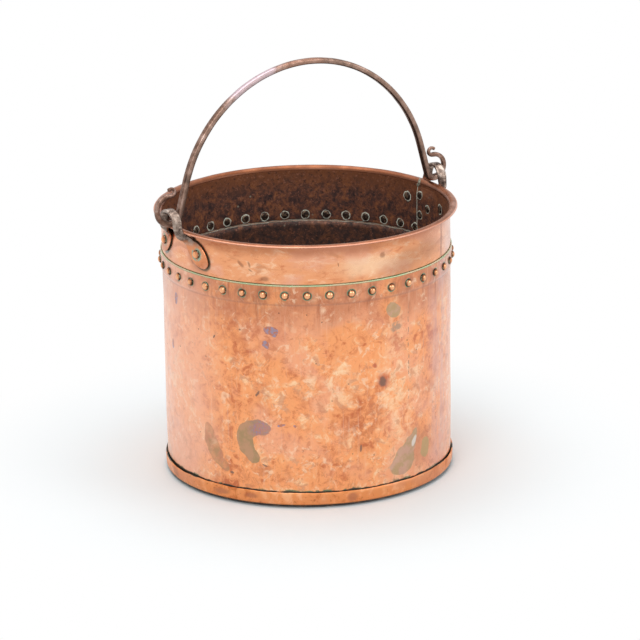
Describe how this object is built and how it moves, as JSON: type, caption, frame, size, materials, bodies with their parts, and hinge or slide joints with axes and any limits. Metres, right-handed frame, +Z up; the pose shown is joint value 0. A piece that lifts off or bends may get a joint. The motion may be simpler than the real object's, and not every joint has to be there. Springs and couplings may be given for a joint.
{
  "type": "riveted copper bucket",
  "caption": "Round riveted copper bucket with a rolled lip, a dished base pan on rivet feet, two riveted loop ears and a swinging bow handle with curled hooks.",
  "frame": {"origin": "centre of the bucket's footprint on the floor", "axes": "+Z up, X along the bail's hinge line through both ears, +X towards the right ear"},
  "size_m": [0.3967, 0.3566, 0.4922],
  "materials": {
    "copper_wall": "hammered copper sheet, polished, mottled with brown and pink and with a few olive and purple stains",
    "copper_collar": "planished copper sheet, smoother than the wall, dark inside with old oxide",
    "copper_base": "dished copper sheet, darker at its edge, with verdigris in the crevice",
    "copper_rivets": "hammered copper rivets with worn bright crowns and verdigris round their feet",
    "forged_ears": "forged copper alloy strip with a brown patina, rubbed lighter on its edges",
    "forged_bail": "forged bar with a brown bronze-like patina, rubbed bright at the grip"
  },
  "bodies": {
    "bucket": {"wall": "copper_wall", "collar": "copper_collar", "base_pan": "copper_base", "band_rivets": "copper_rivets", "base_rivets": "copper_rivets", "seam_rivets": "copper_rivets", "left_ear": "forged_ears", "right_ear": "forged_ears", "left_ear_rivets": "copper_rivets", "right_ear_rivets": "copper_rivets"},
    "handle": {"bail": "forged_bail"}
  },
  "joints": [
    {"name": "bail_swing", "type": "hinge", "parent": "bucket", "child": "handle", "pos_m": [0, 0, 0.32255], "axis": [1, 0, 0], "range_deg": [-90, 90]}
  ]
}
